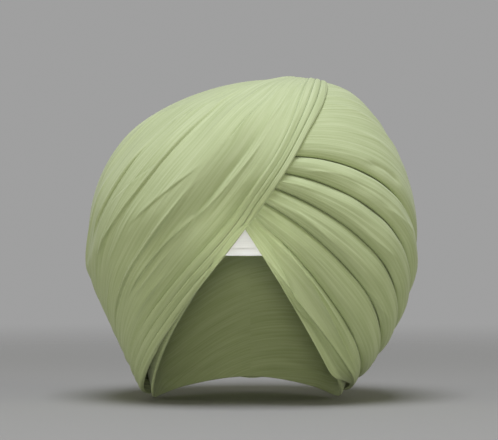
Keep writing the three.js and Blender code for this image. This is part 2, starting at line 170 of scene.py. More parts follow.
def azimuth_of(p):
    x = p[..., 0] - axis_x(np.minimum(p[..., 2], WRAP["top_z"]))
    return np.arctan2(x, WRAP["axis_y"] - p[..., 1]) / DEGREE


def outside(p):
    """How far points lie outside the outer form, measured from its axis."""
    z = np.minimum(p[..., 2], WRAP["top_z"])
    radius = np.hypot(p[..., 0] - axis_x(z), p[..., 1] - WRAP["axis_y"])
    return radius + (p[..., 2] - z) - wrap_radius(azimuth_of(p), z)


def unit(v):
    return v / np.maximum(np.linalg.norm(v, axis=-1, keepdims=True), 1e-12)


def outward_normal(p):
    step = NORMAL_STEP * np.eye(3)
    return unit(np.stack([outside(p + e) - outside(p - e) for e in step], -1))


class Fan:
    """A family of folds in planes round a chord between two gathering points."""

    def __init__(self, start, end, aim, twist=0.0, power=1.0):
        self.start = np.array(start, float)
        chord = np.array(end, float) - self.start
        self.length = np.linalg.norm(chord)
        self.along = chord / self.length
        front = np.array(aim, float)
        self.front = unit(front - self.along * (front @ self.along))
        self.side = np.cross(self.along, self.front)
        self.twist, self.power = twist, power

    def turned(self, t):
        return self.twist * np.maximum(1 - t, 0) ** self.power

    def points(self, t, angle):
        """Outermost points of the form in the planes, square to the chord at t, and whether they exist."""
        turn = ((angle - self.turned(t)) * DEGREE)[..., None]
        origin = self.start + self.along * (t * self.length)[..., None]
        ray = self.front * np.cos(turn) + self.side * np.sin(turn)
        near = np.full(t.shape, -1.0)
        for s in np.arange(RAY["reach"], 0, -RAY["step"]):
            hit = (near < 0) & (outside(origin + ray * s) <= 0)
            near[hit] = s
        found = near > 0
        far = near + RAY["step"]
        for _ in range(RAY["halvings"]):
            middle = (near + far) / 2
            out = outside(origin + ray * middle[..., None]) > 0
            far = np.where(out, middle, far)
            near = np.where(out, near, middle)
        return origin + ray * near[..., None], found

    def place(self, p):
        """Place of points in the fan: along the chord, away from it, and the plane."""
        offset = p - self.start
        t = offset @ self.along / self.length
        turned = np.arctan2(offset @ self.side, offset @ self.front) / DEGREE
        away = np.linalg.norm(offset - self.along * (t * self.length)[..., None], axis=-1)
        return t, away, turned + self.turned(t)


TURN_FAN = Fan((-44, -150, 92), (33, 59, -76), (0.3, -1, 0))
SHEET_FAN = Fan((-59, 91.5, -112.5), (54, 44.5, 144), (0, -1, 0), 25.5, 1.44)


def band_line(t, line):
    """Plane of the band's border or edge, which spreads at the lower end and flares at the crown."""
    flare = np.maximum(t - BAND[line + "_flare_from"], 0) ** 2
    return BAND[line] + BAND[line + "_spread"] * (1 - t) ** 2 + BAND[line + "_flare"] * flare


def band_edge(t):
    return band_line(t, "edge")


def band_border(t):
    return band_line(t, "border")


def under_sheet(p):
    """How far points lie inside the nearest edge of the last sheet."""
    t, away, angle = SHEET_FAN.place(p)
    return np.minimum(band_edge(t) - angle, angle - SHEET["back_angle"]) * DEGREE * away


def passes_sheet(p):
    """Whether a turn still runs on here: it ends under the sheet, but passes its end at the crown."""
    rise = (SHEET_FAN.place(p)[0] - CROWN_HIDES["start"]) / (CROWN_HIDES["end"] - CROWN_HIDES["start"])
    return under_sheet(p) < SHEET_HIDES + CROWN_HIDES["more"] * smoothstep(rise)


def lining_gap(z):
    rise = smoothstep((z - UNDER_BAND["lower_z"] + LINING_GAP["below"]) / LINING_GAP["rise"])
    return LINING_GAP["rim"] + (LINING_GAP["band"] - LINING_GAP["rim"]) * rise


def turn_room(p):
    """Room between the inner turns and the outer form."""
    azimuth, z = azimuth_of(p), p[..., 2]
    wall = wrap_radius(azimuth, z) - head_radius(azimuth, z, lining_gap(z))
    room = TURN_DEPTH * (1 - np.exp((RIM_THICKNESS - wall) / TURN_DEPTH))
    covered = smoothstep((under_sheet(p) - SHEET_FADE[0]) / (SHEET_FADE[1] - SHEET_FADE[0]))
    return room + (SHEET_SEAT - room) * covered


def walk(fan, angle_at, begin, heading, fits):
    """The last place along the chord, on each line, whose point still fits."""
    t = begin.copy()
    step = np.full(t.shape, WALK["step"])
    while step.max() > WALK["least"]:
        ahead = t + heading * step
        p, found = fan.points(ahead, angle_at(ahead))
        good = found & fits(p) & (ahead > WALK["low"]) & (ahead < WALK["high"]) & (step > WALK["least"])
        t = np.where(good, ahead, t)
        step = np.where(good, step, step / 2)
    return t


def even_lines(fan, angle_at, start, end, stations):
    """Places along the chord at even steps of each line's length: one row for each station."""
    share = 0.5 - 0.5 * np.cos(np.pi * np.linspace(0, 1, MEASURED_STATIONS))[:, None]
    places = start + (end - start) * share
    p, _ = fan.points(places, angle_at(places))
    steps = np.linalg.norm(np.diff(p, axis=0), axis=-1)
    lengths = np.vstack([np.zeros(len(start)), np.cumsum(steps, 0)])
    wanted = np.linspace(0, 1, stations)
    columns = [np.interp(wanted * l[-1], l, q) for l, q in zip(lengths.T, places.T)]
    return np.stack(columns, 1), lengths[-1]


def free(fan):
    return lambda p: (p[..., 2] > TIP_Z) & (fan.place(p)[1] > BUNCH_RADIUS)


def spline(count, where):
    """Weights that carry values at count even knots to other places on a smooth curve through them."""
    place = np.clip(where, 0, 1) * (count - 1)
    k = np.clip(np.floor(place).astype(int), 0, count - 2)
    f = place - k
    parts = [
        (-1, -0.5 * f + f ** 2 - 0.5 * f ** 3),
        (0, 1 - 2.5 * f ** 2 + 1.5 * f ** 3),
        (1, 0.5 * f + 2 * f ** 2 - 1.5 * f ** 3),
        (2, -0.5 * f ** 2 + 0.5 * f ** 3),
    ]
    weights = np.zeros((len(where), count))
    rows = np.arange(len(where))
    for shift, part in parts:
        i = k + shift
        for at, share in ((i, (i >= 0) & (i < count)), (i + 1, 2.0 * (i < 0)), (i + 2, -1.0 * (i < 0)),
                          (i - 1, 2.0 * (i >= count)), (i - 2, -1.0 * (i >= count))):
            np.add.at(weights, (rows, np.clip(at, 0, count - 1)), part * share)
    return weights


class Patch:
    """A fine grid of points on the outer form: stations run along the folds, columns across them."""

    def __init__(self, fan, t, angle, lengths, along, across):
        p, _ = fan.points(t, angle)
        down, over = spline(t.shape[0], along), spline(t.shape[1], across)
        spread = lambda v: np.einsum("ri,ij...,cj->rc...", down, v, over, optimize=True)
        self.point = spread(p)
        self.normal = unit(spread(outward_normal(p)))
        self.room = spread(turn_room(p))
        self.under = spread(under_sheet(p))
        self.t, self.away, self.angle = fan.place(self.point)
        self.along_mm = np.outer(along, over @ lengths)
        steps = np.linalg.norm(np.diff(self.point, axis=1), axis=-1)
        place = np.concatenate([[0], np.cumsum(steps.mean(0))])
        self.across_mm = np.repeat(place[None, :], len(along), 0)
        turning = np.sign(np.gradient(self.angle, axis=1))[..., None]
        self.sideways = unit(np.gradient(self.point, axis=1)) * turning

    def lifted(self, height, shift=None):
        raised = self.point + self.normal * height[..., None]
        return raised if shift is None else raised + self.sideways * shift[..., None]


# Folds of the cloth, in the planes of its fan. Each row gives the plane at the start, middle and end of a
# stretch of the chord, the height, the widths towards the back and towards the face, how round the crest is,
# and the height of the thin pinched line along it.
FOLD_COLUMNS = ("start", "end", "first", "middle", "last", "height", "back", "face", "round", "pinch")
SHEET_FOLDS = [
    (0.20, 0.99, -29.0, -23.4, -24.2, 2.5, 1.4, 1.2, 0.5, 0.8),
    (0.28, 0.94, -27.5, -23.6, -24.0, -1.4, 3.2, 3.2, 1.0, 0.0),
    (0.84, 1.06, -23.0, -24.5, -26.5, 1.6, 1.4, 16.0, 0.8, 0.0),
    (0.83, 1.14, -28.0, -26.0, -24.0, -2.8, 14.0, 18.0, 6.0, 0.0),
    (0.10, 0.73, -14.0, -13.0, -11.4, 2.2, 1.5, 1.4, 0.4, 0.7),
    (0.16, 0.68, -14.0, -13.0, -11.4, -0.8, 5.0, 5.0, 1.0, 0.0),
    (0.48, 0.74, -19.6, -16.5, -12.8, 0.9, 3.0, 1.4, 0.5, 0.3),
    (0.26, 0.66, -9.6, -9.2, -5.6, 1.6, 2.2, 2.2, 0.6, 0.4),
    (0.54, 0.90, -7.4, -5.3, -4.7, 1.6, 1.8, 3.0, 0.6, 0.3),
    (0.50, 0.92, -7.6, -6.8, -6.4, -2.2, 5.0, 1.2, 0.6, 0.0),
    (0.26, 0.52, -8.2, -7.1, -6.4, 1.1, 1.6, 2.2, 0.5, 0.3),
    (0.24, 0.48, -10.4, -11.0, -11.3, 1.0, 1.6, 2.0, 0.5, 0.3),
    (0.12, 0.44, -5.4, -4.6, -3.6, 1.3, 2.6, 3.0, 0.8, 0.2),
    (0.50, 0.80, -4.0, -2.9, -2.4, 1.0, 2.4, 3.0, 0.8, 0.0),
    (0.76, 1.00, -17.6, -17.0, -18.6, 0.8, 2.6, 3.4, 0.8, 0.2),
    (0.74, 0.98, -6.6, -6.4, -6.8, 0.8, 2.0, 3.4, 0.8, 0.2),
    (0.36, 0.74, -33.8, -32.4, -33.2, 1.8, 2.0, 2.6, 0.5, 0.4),
    (0.46, 0.80, -43.6, -42.6, -41.0, 1.2, 2.0, 3.2, 0.5, 0.3),
    (0.16, 0.40, -19.6, -18.4, -18.0, 1.2, 1.8, 2.2, 0.6, 0.3),
    (0.30, 0.62, -21.6, -20.4, -20.8, 0.9, 1.8, 2.2, 0.7, 0.2),
    (0.20, 0.62, -39.5, -38.4, -38.5, 1.5, 2.4, 3.0, 0.8, 0.3),
    (0.10, 0.90, -54.0, -52.5, -51.0, 1.8, 3.0, 4.0, 0.8, 0.4),
    (0.10, 0.90, -64.0, -63.0, -61.0, 1.7, 3.0, 4.0, 0.8, 0.4),
    (0.10, 0.92, -75.0, -74.0, -72.0, 1.8, 3.0, 4.0, 0.8, 0.4),
    (0.06, 0.96, -0.9, 0.0, -0.6, -2.3, 8.0, 3.0, 0.8, 0.0),
    (0.46, 0.94, -5.6, -5.0, -4.6, -3.4, 8.0, 7.0, 3.0, 0.0),
    (0.40, 0.97, -16.0, -13.4, -13.0, 5.4, 20.0, 14.0, 5.0, 0.0),
]

# Lines where one layer of the cloth hangs over the next. The upper layer lies towards the face on side 1 and
# towards the back on side -1. Each row ends with the upper layer's height, the reach of its lip over the
# lower layer, how far in it stays raised, and how deep the lower layer dips.
LAP_COLUMNS = ("start", "end", "first", "middle", "last", "side", "height", "lip", "inward", "dip")
SHEET_LAPS = [
    (0.80, 1.02, -11.7, -11.1, -11.6, 1, 1.5, 1.5, 7.0, 1.2),
    (0.24, 0.97, -28.5, -22.95, -23.7, -1, 0.4, 0.8, 1.6, 0.5),
    (0.56, 0.84, -24.8, -23.9, -23.4, 1, 0.4, 0.8, 1.5, 0.7),
    (0.48, 0.74, -19.2, -16.1, -12.4, -1, 0.3, 0.7, 2.5, 0.4),
    (0.12, 0.72, -13.6, -12.55, -11.0, -1, 0.4, 0.8, 1.8, 0.5),
    (0.26, 0.66, -9.2, -8.8, -5.2, -1, 0.4, 0.8, 2.5, 0.6),
    (0.46, 0.84, -45.6, -44.4, -41.0, 1, 1.8, 1.6, 5.0, 1.6),
    (0.87, 0.965, -35.0, -30.8, -26.6, 1, 1.2, 1.2, 4.0, 1.2),
    (0.75, 0.91, -33.5, -29.3, -27.6, 1, 1.4, 1.4, 4.0, 1.4),
    (0.69, 0.86, -49.5, -41.4, -35.0, 1, 1.4, 1.3, 4.0, 1.3),
    (0.48, 0.71, -30.8, -26.8, -22.2, 1, 0.5, 0.9, 3.0, 0.7),
    (0.36, 0.74, -33.2, -31.7, -32.5, -1, 0.4, 1.0, 2.5, 0.8),
    (0.84, 1.06, -23.4, -25.0, -27.0, 1, 0.8, 0.9, 10.0, 0.8),
]
TURN_LAPS = [
    (0.30, 1.00, -12.2, -4.4, -3.6, 1, 0.8, 1.6, 5.0, 1.4),
    (0.36, 0.98, 7.4, 1.0, -1.4, -1, 0.5, 1.2, 5.0, 1.0),
]
LAP_WALL = 0.8
LAP_DIP = 1.2

# pleats, puckers and slanting wrinkles of the lapped turns
TURN_FOLDS = [
    (0.34, 1.00, 7.6, 0.6, -1.8, 2.6, 7.0, 0.6, 0.25, 0.5),
    (0.34, 0.64, 8.8, 7.6, 1.6, -1.2, 0.8, 0.9, 0.3, 0.0),
    (0.30, 1.00, -11.8, -4.2, -3.2, 2.5, 0.6, 6.0, 0.25, 0.5),
    (0.33, 0.97, -10.4, -7.6, -6.8, 1.5, 0.7, 1.6, 0.3, 0.3),
    (0.27, 0.44, -33.0, -30.2, -28.6, 0.9, 2.2, 2.8, 0.8, 0.2),
    (0.46, 0.74, -23.8, -25.8, -29.5, 0.7, 2.0, 3.0, 0.8, 0.2),
    (0.52, 0.82, -22.4, -26.2, -30.5, 0.7, 2.0, 3.0, 0.8, 0.2),
    (0.18, 0.30, -41.0, -45.5, -45.0, 0.9, 1.8, 2.6, 0.7, 0.2),
    (0.38, 0.64, -40.6, -41.6, -44.0, 0.7, 2.0, 3.0, 0.8, 0.2),
    (0.23, 0.38, -53.6, -57.4, -56.6, 0.8, 2.0, 3.0, 0.8, 0.2),
    (0.45, 0.70, -54.0, -57.0, -60.0, 0.7, 2.0, 3.0, 0.8, 0.1),
    (0.36, 0.54, -67.4, -68.8, -68.4, -1.8, 1.8, 2.4, 0.6, 0.0),
    (0.24, 0.62, -94.0, -87.0, -84.0, 1.5, 3.0, 5.0, 1.0, 0.2),
    (0.22, 0.56, -100.0, -94.0, -92.0, 1.2, 2.6, 4.0, 1.0, 0.2),
    (0.24, 0.66, -82.0, -78.5, -77.0, 1.2, 3.0, 4.5, 1.0, 0.2),
]
PINCH_WIDTH = 0.9
FOLD_FADE = 0.3
CRINKLE = dict(signs=[1, 1, -0.7], lopsided=(0.8, 1.6), round=0.3)
SWELL = dict(waves=7, lengths=(0.7, 1.5))
CURVE_STEPS = 40


def fold_line(patch, fold):
    """Distance of the points from the line of a fold, and how much of the fold there is beside them."""
    s = (patch.t - fold["start"]) / (fold["end"] - fold["start"])
    plane = (fold["first"] * (1 - s) * (1 - 2 * s) + fold["middle"] * 4 * s * (1 - s)
             + fold["last"] * s * (2 * s - 1))
    present = smoothstep(s / FOLD_FADE) * smoothstep((1 - s) / FOLD_FADE)
    return (patch.angle - plane) * DEGREE * patch.away, present


def fold_height(patch, rows):
    total = np.zeros(patch.t.shape)
    for row in rows:
        fold = dict(zip(FOLD_COLUMNS, row))
        x, present = fold_line(patch, fold)
        width = np.where(x > 0, fold["face"], fold["back"])
        shape = np.exp((fold["round"] - np.sqrt(x * x + fold["round"] ** 2)) / width)
        total += present * (fold["height"] * shape + fold["pinch"] * np.exp(-(x / PINCH_WIDTH) ** 2))
    return total


def lap_shape(patch, rows):
    """Heights and sideways shifts of the layers that hang over one another."""
    height = np.zeros(patch.t.shape)
    shift = np.zeros(patch.t.shape)
    for row in rows:
        lap = dict(zip(LAP_COLUMNS, row))
        x, present = fold_line(patch, lap)
        x = x * lap["side"]
        upper = smoothstep(x / LAP_WALL + 0.5)
        lip = present * upper * np.exp(-np.maximum(x, 0) / lap["inward"])
        lower = present * (1 - upper) * np.exp(np.minimum(x, 0) / LAP_DIP)
        height += lap["height"] * lip - lap["dip"] * lower
        shift -= lap["side"] * lap["lip"] * lip
    return height, shift


def small_folds(count, t_range, angle_range, height, width, length, slant):
    """Seeded small crinkles that run along the cloth."""
    rows = []
    for _ in range(count):
        middle = RANDOM.uniform(*t_range)
        half = RANDOM.uniform(*length) / 2
        plane = RANDOM.uniform(*angle_range)
        lean = RANDOM.normal(0, slant)
        bend = RANDOM.normal(0, slant / 3)
        size = RANDOM.uniform(*height) * RANDOM.choice(CRINKLE["signs"])
        back = RANDOM.uniform(*width)
        face = back * RANDOM.uniform(*CRINKLE["lopsided"])
        rows.append((middle - half, middle + half, plane - lean, plane + bend, plane + lean,
                     size, back, face, CRINKLE["round"] * back, 0.0))
    return rows


def swell(patch, size, wavelength, seed):
    """A slow, seeded unevenness of the cloth."""
    draw = np.random.default_rng(seed)
    total = np.zeros(patch.t.shape)
    for _ in range(SWELL["waves"]):
        direction = draw.normal(size=3)
        direction *= 2 * np.pi / (wavelength * draw.uniform(*SWELL["lengths"]) * np.linalg.norm(direction))
        total += np.sin(patch.point @ direction + draw.uniform(0, 2 * np.pi))
    return size * total / math.sqrt(SWELL["waves"])


def curve_through(rows, count, reshaped=lambda fine: fine):
    """Even places on a smooth curve through the rows of a short table, reshaped first."""
    table = np.array(rows, float)
    fine = reshaped(spline(len(table), np.linspace(0, 1, CURVE_STEPS * len(table))) @ table)
    steps = np.linalg.norm(np.diff(fine, axis=0), axis=1)
    length = np.concatenate([[0], np.cumsum(steps)])
    even = np.linspace(0, length[-1], count)
    return np.stack([np.interp(even, length, column) for column in fine.T], 1)


def grid_mesh(name, points, u, v, closed_round=False, closed_section=False):
    """A mesh from a grid of points in millimetres, with its own lengths as UV."""
    rows, columns = points.shape[:2]
    index = np.arange(rows * columns).reshape(rows, columns)
    if closed_section:
        index = np.concatenate([index, index[:1]], 0)
        u = np.concatenate([u, 2 * u[-1:] - u[-2:-1]], 0)
        v = np.concatenate([v, v[:1]], 0)
    if closed_round:
        index = np.concatenate([index, index[:, :1]], 1)
        u = np.concatenate([u, u[:, :1]], 1)
        v = np.concatenate([v, 2 * v[:, -1:] - v[:, -2:-1]], 1)
    corners = [(slice(None, -1), slice(None, -1)), (slice(None, -1), slice(1, None)),
               (slice(1, None), slice(1, None)), (slice(1, None), slice(None, -1))]
    faces = np.stack([index[c] for c in corners], -1).reshape(-1, 4)
    uv = np.stack([np.stack([u[c], v[c]], -1) for c in corners], -2).reshape(-1, 2)
    mesh = bpy.data.meshes.new(name)
    mesh.vertices.add(rows * columns)
    mesh.vertices.foreach_set("co", (points.reshape(-1, 3) * MM).astype(np.float32).ravel())
    mesh.loops.add(faces.size)
    mesh.loops.foreach_set("vertex_index", faces.astype(np.int32).ravel())
    mesh.polygons.add(len(faces))
    mesh.polygons.foreach_set("loop_start", np.arange(0, faces.size, 4, dtype=np.int32))
    mesh.polygons.foreach_set("use_smooth", np.ones(len(faces), bool))
    layer = mesh.uv_layers.new(name="cloth")
    layer.data.foreach_set("uv", (uv * MM).astype(np.float32).ravel())
    mesh.update(calc_edges=True)
    mesh.validate()
    piece = bpy.data.objects.new(name, mesh)
    bpy.context.scene.collection.objects.link(piece)
    return piece


def dress(piece, node, material):
    piece.data.materials.append(material)
    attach(piece, "root")
    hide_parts(node)


# a node-built cloth: lengthwise streaks and ribs, crosswise slubs and a fine plain weave
CLOTH_SHADER = {
    "Roughness": 0.88,
    "Specular IOR Level": 0.22,
    "Sheen Weight": 0.12,
    "Sheen Roughness": 0.45,
}
NOISE_ROUGHNESS = 0.6
THREAD_PERIOD = 0.62
TONE = dict(streaks=0.5, ribs=0.2, broad=0.15, dark=0.39, light=0.61)
RELIEF = dict(ribs=1.0, streaks=0.35, slubs=0.12, weave=0.02)


def cloth_material(name, light, dark, streak_depth):
    material = bpy.data.materials.new(name)
    material.use_nodes = True
    nodes, links = material.node_tree.nodes, material.node_tree.links
    shader = nodes["Principled BSDF"]
    for socket, value in CLOTH_SHADER.items():
        shader.inputs[socket].default_value = value
    uv = nodes.new("ShaderNodeUVMap")
    uv.uv_map = "cloth"

    def noise(across_mm, along_mm, detail):
        stretch = nodes.new("ShaderNodeMapping")
        stretch.inputs["Scale"].default_value = (PER_METRE / across_mm, PER_METRE / along_mm, 1)
        links.new(uv.outputs["UV"], stretch.inputs["Vector"])
        texture = nodes.new("ShaderNodeTexNoise")
        texture.inputs["Scale"].default_value = 1.0
        texture.inputs["Detail"].default_value = detail
        texture.inputs["Roughness"].default_value = NOISE_ROUGHNESS
        links.new(stretch.outputs["Vector"], texture.inputs["Vector"])
        return texture.outputs["Fac"]

    def maths(operation, first, second):
        node = nodes.new("ShaderNodeMath")
        node.operation = operation
        for socket, value in zip(node.inputs, (first, second)):
            if isinstance(value, (int, float)):
                socket.default_value = value
            else:
                links.new(value, socket)
        return node.outputs["Value"]

    def threads(period_mm, axis):
        split = nodes.new("ShaderNodeSeparateXYZ")
        links.new(uv.outputs["UV"], split.inputs["Vector"])
        return maths("SINE", maths("MULTIPLY", split.outputs[axis], 2 * PER_METRE * math.pi / period_mm), 0)

    streaks = noise(across_mm=1.3, along_mm=70, detail=1)
    ribs = noise(across_mm=3.2, along_mm=130, detail=1)
    broad = noise(across_mm=8, along_mm=120, detail=1)
    slubs = noise(across_mm=16, along_mm=1.2, detail=1)
    patchy = noise(across_mm=45, along_mm=60, detail=2)
    weave = maths("MULTIPLY", threads(THREAD_PERIOD, "X"), threads(THREAD_PERIOD, "Y"))
    tone = maths("ADD", maths("MULTIPLY", streaks, TONE["streaks"]), maths("MULTIPLY", ribs, TONE["ribs"]))
    tone = maths("ADD", tone, maths("MULTIPLY", maths("ADD", broad, patchy), TONE["broad"]))
    ramp = nodes.new("ShaderNodeValToRGB")
    for stop, place, colour in zip(ramp.color_ramp.elements, (TONE["dark"], TONE["light"]), (dark, light)):
        stop.position = place
        stop.color = (*colour, 1)
    links.new(tone, ramp.inputs["Fac"])
    links.new(ramp.outputs["Color"], shader.inputs["Base Color"])
    relief = maths("MULTIPLY", ribs, RELIEF["ribs"])
    relief = maths("ADD", relief, maths("MULTIPLY", streaks, RELIEF["streaks"]))
    relief = maths("ADD", relief, maths("MULTIPLY", slubs, RELIEF["slubs"]))
    relief = maths("ADD", relief, maths("MULTIPLY", weave, RELIEF["weave"]))
    bump = nodes.new("ShaderNodeBump")
    bump.inputs["Strength"].default_value = 1.0
    bump.inputs["Distance"].default_value = streak_depth * MM
    links.new(relief, bump.inputs["Height"])
    links.new(bump.outputs["Normal"], shader.inputs["Normal"])
    return material


green = cloth_material("sage_voile", light=(0.475, 0.54, 0.30), dark=(0.385, 0.45, 0.225), streak_depth=0.5)
white = cloth_material("white_cotton", light=(0.91, 0.91, 0.92), dark=(0.87, 0.87, 0.88), streak_depth=0.15)

# Section of a turn, from the hem turned under it, round its rolled lower edge, to the tail under the next
# turn: places across it as shares of its width, and heights as shares of its depth.
TURN_SECTION = [
    (0.30, 0.30), (0.16, 0.25), (0.06, 0.26), (0.0, 0.31), (-0.03, 0.39), (-0.04, 0.49), (-0.03, 0.61),
    (0.0, 0.72), (0.05, 0.84), (0.12, 0.95), (0.21, 1.04), (0.32, 1.10), (0.44, 1.12), (0.58, 1.09),
    (0.71, 1.0), (0.81, 0.84), (0.88, 0.62), (0.93, 0.38), (0.98, 0.21), (1.05, 0.13), (1.16, 0.09),
    (1.28, 0.07),
]
ROLL_WIDTH = 14.0
ROLL_FLAT = (0.44, 0.58)
TURN_TAIL = 0.28
MEAN_AWAY = 110
TURN_MESH = dict(front_rows=230, back_rows=170, columns=100, top_columns=160, planes=22, stations=64)
TURN_MARGIN = dict(low=-0.06, high=0.02)
TURN_SKIN = dict(start=0.55, rise=0.2)
FULL_CREASE = 15
FULL_RELIEF = 12
EAR_END = dict(length=5, drop=2.5)
EDGE_ROWS = 6
EDGE_SHARE = 0.012
EDGE_POWER = 1.5


def turn_piece(name, low, high, following):
    width = high - low
    front = not name.startswith("back")
    rows = TURN_MESH["front_rows" if front else "back_rows"]
    columns = TURN_MESH["top_columns" if name == "top_turn" else "columns"]
    narrow = min(1, ROLL_WIDTH / abs(width))
    tail = 1 + TURN_TAIL * min(ROLL_WIDTH, abs(following)) / abs(width)
    shares = (-1, 0, ROLL_FLAT[0], ROLL_FLAT[1], 1, 1 + TURN_TAIL)
    places = (-narrow, 0, ROLL_FLAT[0] * narrow, 1 - (1 - ROLL_FLAT[1]) * narrow, 1, tail)
    size = np.array((abs(width) * MEAN_AWAY * DEGREE, TURN_DEPTH))
    fitted = lambda fine: size * np.stack([np.interp(fine[:, 0], shares, places), fine[:, 1]], 1)
    section = curve_through(TURN_SECTION, int(columns * FINE), fitted) / size
    reach = (TURN_MARGIN["low"], max(tail, 1) + TURN_MARGIN["high"])
    across = (section[:, 0] - reach[0]) / (reach[1] - reach[0])
    planes = low + width * np.linspace(*reach, TURN_MESH["planes"])
    gathered = np.maximum(planes - EAR_GATHER["angle"], 0) * EAR_GATHER["share"]
    drawn = lambda t: smoothstep((t - EAR_GATHER["start"]) / (EAR_GATHER["end"] - EAR_GATHER["start"]))
    angle_at = lambda t: planes - gathered * drawn(t)
    end = walk(TURN_FAN, angle_at, np.full(planes.shape, 0.5), 1, free(TURN_FAN))
    start = walk(TURN_FAN, angle_at, end, -1, passes_sheet)
    t, lengths = even_lines(TURN_FAN, angle_at, start, end, TURN_MESH["stations"])
    along = np.linspace(0, 1, int(rows * FINE))
    patch = Patch(TURN_FAN, t, angle_at(t), lengths, along, across)
    gap = np.minimum(TURN_GAP["most"], TURN_GAP["share"] * patch.room)
    wide = np.abs(width) * DEGREE * patch.away
    height = -(patch.room - gap) * (1 - section[:, 1]) * np.minimum(1, wide / FULL_CREASE)
    skin = np.maximum.accumulate(smoothstep((section[:, 1] - TURN_SKIN["start"]) / TURN_SKIN["rise"]))
    crinkles = small_folds(count=26 if front else 18, t_range=(0.2, 1.0), angle_range=(high, low),
                           height=(0.1, 0.45), width=(0.7, 2.0), length=(0.2, 0.6), slant=0.5)
    lapped, shift = lap_shape(patch, TURN_LAPS)
    uneven = swell(patch, size=0.35, wavelength=42, seed=len(name) + int(abs(low)))
    relief = fold_height(patch, TURN_FOLDS + crinkles) + lapped + uneven
    spread = skin * np.minimum(1, wide / FULL_RELIEF)
    height += spread * relief
    before_end = smoothstep((SHEET_SINK["end"] - SHEET_FAN.place(patch.point)[0]) / SHEET_SINK["fade"])
    height -= SHEET_SINK["depth"] * smoothstep(patch.under / SHEET_SINK["over"]) * before_end
    last = np.maximum(1 - (1 - along[:, None]) * lengths.mean() / EAR_END["length"], 0)
    height -= EAR_END["drop"] * (1 - np.sqrt(1 - np.minimum(last, 1) ** 2))
    points = patch.lifted(height, spread * shift)
    piece = grid_mesh("cloth_" + name, points, patch.across_mm, patch.along_mm)
    dress(piece, name, green)
    return piece


def hem(distance, reach):
    """A rounded edge: 0 at the very edge, 1 further in than reach."""
    x = np.clip(distance / reach, 0, 1)
    return np.sqrt(1 - (1 - x) ** 2)


def edge_dense(count):
    """Places from 0 to 1 with extra ones close to both ends."""
    ends = EDGE_SHARE * np.linspace(0, 1, EDGE_ROWS + 1)[:-1] ** EDGE_POWER
    return np.concatenate([ends, np.linspace(EDGE_SHARE, 1 - EDGE_SHARE, count), 1 - ends[::-1]])


def edge_height(patch):
    """Height of the cloth's edges over the form, which is less at the crown, where the end is tucked in."""
    to_end = patch.along_mm[-1:, :] - patch.along_mm
    return SHEET["low"] - END_TUCK["depth"] * (1 - smoothstep(to_end / END_TUCK["over"]))


def run_lines(angle_at, count, stations):
    """Lines of the sheet's fan from the ear to the crown."""
    begin = np.full(count, 0.5)
    start = walk(SHEET_FAN, angle_at, begin, -1, free(SHEET_FAN))
    end = walk(SHEET_FAN, angle_at, begin, 1, free(SHEET_FAN))
    return even_lines(SHEET_FAN, angle_at, start, end, stations)


SHEET_MESH = dict(lines=44, stations=72, rows=210, back_columns=70, front_columns=270, split=-48, last=0.3)
SHEET_HEM = dict(side=3.5, end=3.0, least=0.3)


def sheet_piece():
    back = SHEET["back_angle"]
    border = lambda t: band_border(t) + SHEET["tuck"]
    coarse = np.linspace(0, 1, SHEET_MESH["lines"])
    angle_at = lambda t: back + coarse * (border(t) - back)
    t, lengths = run_lines(angle_at, len(coarse), SHEET_MESH["stations"])
    along = edge_dense(int(SHEET_MESH["rows"] * FINE))
    planes = np.concatenate([
        np.linspace(back, SHEET_MESH["split"], int(SHEET_MESH["back_columns"] * FINE))[:-1],
        np.linspace(SHEET_MESH["split"], SHEET_MESH["last"], int(SHEET_MESH["front_columns"] * FINE)),
    ])
    across = (planes - back) / (planes[-1] - back)
    patch = Patch(SHEET_FAN, t, angle_at(t), lengths, along, across)
    crinkles = small_folds(count=240, t_range=(0.1, 1.0), angle_range=(-86, -2), height=(0.08, 0.4),
                           width=(0.6, 1.8), length=(0.2, 0.6), slant=0.25)
    lapped, shift = lap_shape(patch, SHEET_LAPS)
    uneven = swell(patch, size=0.4, wavelength=55, seed=5)
    height = SHEET["gap"] + SHEET["thickness"] + fold_height(patch, SHEET_FOLDS + crinkles) + lapped + uneven
    side = np.minimum(patch.angle - back, border(patch.t) - patch.angle) * DEGREE * patch.away
    ends = np.minimum(patch.along_mm, patch.along_mm[-1:, :] - patch.along_mm)
    rounded = hem(side, SHEET_HEM["side"]) * hem(ends, SHEET_HEM["end"])
    low = edge_height(patch)
    height = low + (np.maximum(height, SHEET["low"] + SHEET_HEM["least"]) - low) * rounded
    points = patch.lifted(height, rounded * shift)
    piece = grid_mesh("cloth_front_sheet", points, patch.across_mm, patch.along_mm)
    dress(piece, "front_sheet", green)
    return piece


# section of the pleated band: places across it and heights over its seat
BAND_SECTION = [
    (0.12, -0.3), (0.05, -0.2), (0.03, 0.5), (0.0, 1.2), (-0.04, 1.8), (-0.035, 2.35), (0.01, 2.7),
    (0.09, 2.7), (0.19, 2.45), (0.27, 2.1), (0.33, 1.5), (0.355, 0.9), (0.35, 1.4), (0.325, 1.95),
    (0.345, 2.45), (0.41, 2.7), (0.49, 2.65), (0.57, 2.3), (0.63, 1.7), (0.67, 0.9), (0.665, 1.3),
    (0.645, 1.8), (0.665, 2.25), (0.73, 2.5), (0.83, 2.4), (0.93, 2.0), (0.985, 1.4), (1.0, 0.6),
    (0.97, -0.1), (0.88, -0.3),
]
BAND_SIZE = np.array((12, 1))
BAND_MESH = dict(lines=12, stations=84, rows=330, columns=150, reach=(-0.06, 1.03))
BAND_SKIN = dict(start=0.3, rise=0.8)
BAND_DEPTH = dict(least=0.45, per_width=26, most=1.5)


